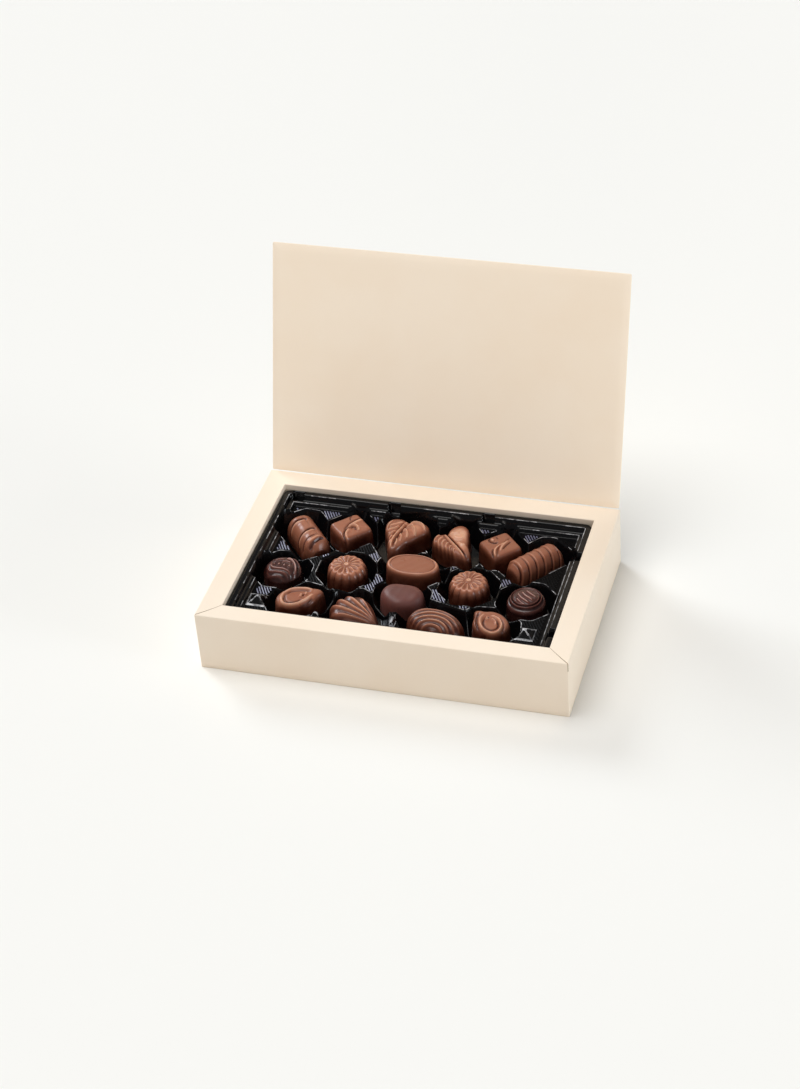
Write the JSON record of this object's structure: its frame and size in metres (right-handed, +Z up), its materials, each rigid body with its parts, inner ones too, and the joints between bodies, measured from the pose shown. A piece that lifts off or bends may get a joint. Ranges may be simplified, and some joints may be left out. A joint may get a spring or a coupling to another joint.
{
  "type": "box of chocolate pralines",
  "caption": "Flat folding-card box standing open, its lid hinged at the back, with a moulded black tray of shaped chocolates.",
  "frame": {"origin": "middle of the underside of the card box", "axes": "+X along the hinge, -Y towards the front of the box, +Z up"},
  "size_m": [0.23, 0.1964, 0.1853],
  "materials": {
    "card": "matte",
    "tray_plastic": "gloss",
    "milk_chocolate": "satin",
    "dark_chocolate": "satin"
  },
  "bodies": {
    "box": {"carton_base": "card", "tray": "tray_plastic", "bar_twisted": "milk_chocolate", "square_hooked": "milk_chocolate", "leaf_wide": "milk_chocolate", "leaf_narrow": "milk_chocolate", "square_flamed": "milk_chocolate", "bar_lined": "milk_chocolate", "round_combed": "dark_chocolate", "flower_left": "milk_chocolate", "oval_rimmed": "milk_chocolate", "flower_right": "milk_chocolate", "round_ringed": "dark_chocolate", "drop_looped": "milk_chocolate", "shell_fan": "milk_chocolate", "pebble_dark": "dark_chocolate", "shell_arcs": "milk_chocolate", "drop_curled": "milk_chocolate"},
    "lid": {"carton_lid": "card"}
  },
  "joints": [
    {"name": "lid_hinge", "type": "hinge", "parent": "box", "child": "lid", "pos_m": [0, 0.0755, 0.041], "axis": [1, 0, 0], "range_deg": [-70, 107]}
  ]
}
